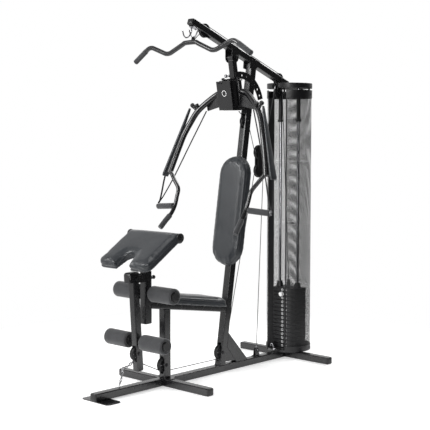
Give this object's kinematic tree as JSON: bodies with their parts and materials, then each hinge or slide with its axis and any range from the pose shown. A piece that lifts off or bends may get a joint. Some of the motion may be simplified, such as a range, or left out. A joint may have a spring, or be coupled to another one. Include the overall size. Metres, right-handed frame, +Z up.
{
  "type": "multi station home gym",
  "caption": "Single-stack home gym with leaning post, sloping lat beam, swinging press arms, padded seat, curl pad and leg lever, on a long floor rail with cross feet.",
  "frame": {"origin": "on the floor under the main rail, at the foot of the leaning main post", "axes": "+Z up; -Y is the front, where the user faces; +Y is the weight stack's side; X is across, with the machine's middle plane at X = 0"},
  "size_m": [0.9684, 1.8388, 2.1493],
  "materials": {
    "black_steel": "gloss black powder coat",
    "chrome": "bright plated",
    "vinyl": "charcoal upholstery vinyl, satin",
    "foam": "matt closed-cell foam",
    "black_plastic": "satin moulded black",
    "mesh_steel": "black perforated sheet",
    "plate_iron": "black enamel",
    "cable": "black coated steel rope"
  },
  "bodies": {
    "frame": {"main_rail": "black_steel", "foot_rail": "black_steel", "foot_plate": "black_steel", "front_stabilizer": "black_steel", "rear_stabilizer": "black_steel", "post_brace": "black_steel", "main_post": "black_steel", "top_beam": "black_steel", "seat_post": "black_steel", "seat_tube": "black_steel", "curl_receiver": "black_steel", "seat_pad": "vinyl", "back_pad": "vinyl", "upper_roller_left": "foam", "upper_roller_right": "foam", "leg_bracket": "black_steel", "stack_base": "black_steel", "stack_cap": "black_plastic", "shroud": "mesh_steel", "shroud_top_ring": "black_plastic", "shroud_bottom_ring": "black_plastic", "guide_rod_left": "chrome", "guide_rod_right": "chrome", "weight_plates": "plate_iron", "press_bracket": "black_steel", "bar_hooks": "chrome", "high_cable": "cable", "press_cable": "cable", "low_cable": "cable"},
    "lifted_weights": {"lifted_plates": "plate_iron"},
    "selector_pin": {"selector_pin": "black_plastic"},
    "lat_bar": {"lat_bar": "black_steel"},
    "press_lever": {"press_lever": "black_steel"},
    "press_pin": {"press_pin": "chrome"},
    "press_yoke": {"press_yoke": "black_steel", "press_quadrant": "black_steel"},
    "arm_left": {"press_arm_left": "black_steel", "forearm_pad_left": "vinyl", "outer_grip_left": "foam"},
    "arm_right": {"press_arm_right": "black_steel", "forearm_pad_right": "vinyl", "outer_grip_right": "foam"},
    "curl_pad": {"curl_post": "black_steel", "curl_pad": "vinyl"},
    "curl_pin": {"curl_pin": "chrome"},
    "leg_lever": {"leg_lever": "black_steel", "lower_roller_left": "foam", "lower_roller_right": "foam"},
    "pulley_block": {"block_frame": "black_plastic"},
    "lat_front_pulley": {"lat_front_pulley": "black_plastic"},
    "lat_rear_pulley": {"lat_rear_pulley": "black_plastic"},
    "post_upper_pulley": {"post_upper_pulley": "black_plastic"},
    "post_low_pulley": {"post_low_pulley": "black_plastic"},
    "seat_post_pulley": {"seat_post_pulley": "black_plastic"},
    "leg_pulley": {"leg_pulley": "black_plastic"},
    "block_upper_pulley": {"block_upper_pulley": "black_plastic"},
    "block_lower_pulley": {"block_lower_pulley": "black_plastic"}
  },
  "joints": [
    {"name": "weight_lift", "type": "slide", "parent": "frame", "child": "lifted_weights", "axis": [0, 0, 1], "range_m": [0, 0.9], "deforming": ["high_cable"]},
    {"name": "selector_pull", "type": "slide", "parent": "lifted_weights", "child": "selector_pin", "axis": [0, -1, 0], "range_m": [0, 0.062]},
    {"name": "lat_pull", "type": "slide", "parent": "frame", "child": "lat_bar", "axis": [0, 0, -1], "range_m": [0, 0.9]},
    {"name": "press_swing", "type": "hinge", "parent": "frame", "child": "press_lever", "pos_m": [0, 0.125, 1.945], "axis": [-1, 0, 0], "range_deg": [0, 40], "deforming": ["press_cable"]},
    {"name": "press_pin_pull", "type": "slide", "parent": "press_lever", "child": "press_pin", "axis": [-1, 0, 0], "range_m": [-0.008, 0.008]},
    {"name": "press_adjust", "type": "hinge", "parent": "press_lever", "child": "press_yoke", "pos_m": [0, 0.17709, 1.64956], "axis": [1, 0, 0], "range_deg": [0, 52]},
    {"name": "fly_left", "type": "hinge", "parent": "press_yoke", "child": "arm_left", "pos_m": [-0.062, 0.12804, 1.7262], "axis": [0, -0.1736, 0.9848], "range_deg": [0, 33]},
    {"name": "fly_right", "type": "hinge", "parent": "press_yoke", "child": "arm_right", "pos_m": [0.062, 0.12804, 1.7262], "axis": [0, 0.1736, -0.9848], "range_deg": [0, 33]},
    {"name": "curl_height", "type": "slide", "parent": "frame", "child": "curl_pad", "axis": [0, 0, 1], "range_m": [0, 0.05]},
    {"name": "curl_pin_pull", "type": "slide", "parent": "frame", "child": "curl_pin", "axis": [0, 1, 0], "range_m": [-0.006, 0.008]},
    {"name": "leg_extension", "type": "hinge", "parent": "frame", "child": "leg_lever", "pos_m": [0, -0.7, 0.655], "axis": [-1, 0, 0], "range_deg": [0, 75], "deforming": ["low_cable"]},
    {"name": "block_travel", "type": "slide", "parent": "frame", "child": "pulley_block", "axis": [0, 0, -1], "range_m": [0, 0.249]},
    {"name": "lat_front_pulley_spin", "type": "hinge", "parent": "frame", "child": "lat_front_pulley", "pos_m": [0, -0.11904, 2.09183], "axis": [1, 0, 0], "continuous": true},
    {"name": "lat_rear_pulley_spin", "type": "hinge", "parent": "frame", "child": "lat_rear_pulley", "pos_m": [0, 0.57296, 1.83172], "axis": [1, 0, 0], "continuous": true},
    {"name": "post_upper_pulley_spin", "type": "hinge", "parent": "frame", "child": "post_upper_pulley", "pos_m": [0, 0.243, 1.556], "axis": [1, 0, 0], "continuous": true},
    {"name": "post_low_pulley_spin", "type": "hinge", "parent": "frame", "child": "post_low_pulley", "pos_m": [0, 0.018, 0.124], "axis": [1, 0, 0], "continuous": true},
    {"name": "seat_post_pulley_spin", "type": "hinge", "parent": "frame", "child": "seat_post_pulley", "pos_m": [0, -0.468, 0.124], "axis": [1, 0, 0], "continuous": true},
    {"name": "leg_pulley_spin", "type": "hinge", "parent": "leg_lever", "child": "leg_pulley", "pos_m": [0, -0.68373, 0.22519], "axis": [1, 0, 0], "continuous": true},
    {"name": "block_upper_pulley_spin", "type": "hinge", "parent": "pulley_block", "child": "block_upper_pulley", "pos_m": [0, 0.385, 1.362], "axis": [1, 0, 0], "continuous": true},
    {"name": "block_lower_pulley_spin", "type": "hinge", "parent": "pulley_block", "child": "block_lower_pulley", "pos_m": [0, 0.385, 1.246], "axis": [1, 0, 0], "continuous": true}
  ],
  "couplings": [
    {"joint": "lat_pull", "follows": "weight_lift", "ratio": 1},
    {"joint": "lat_front_pulley_spin", "follows": "weight_lift", "rad_per_m": 27.027},
    {"joint": "lat_rear_pulley_spin", "follows": "weight_lift", "rad_per_m": 27.027},
    {"joint": "post_upper_pulley_spin", "follows": "press_swing", "ratio": 10.645},
    {"joint": "block_travel", "follows": "leg_extension", "m_per_rad": 0.19},
    {"joint": "seat_post_pulley_spin", "follows": "leg_extension", "ratio": 9.268},
    {"joint": "post_low_pulley_spin", "follows": "leg_extension", "ratio": 9.268},
    {"joint": "block_upper_pulley_spin", "follows": "leg_extension", "ratio": -4.634},
    {"joint": "block_lower_pulley_spin", "follows": "leg_extension", "ratio": 4.634}
  ]
}
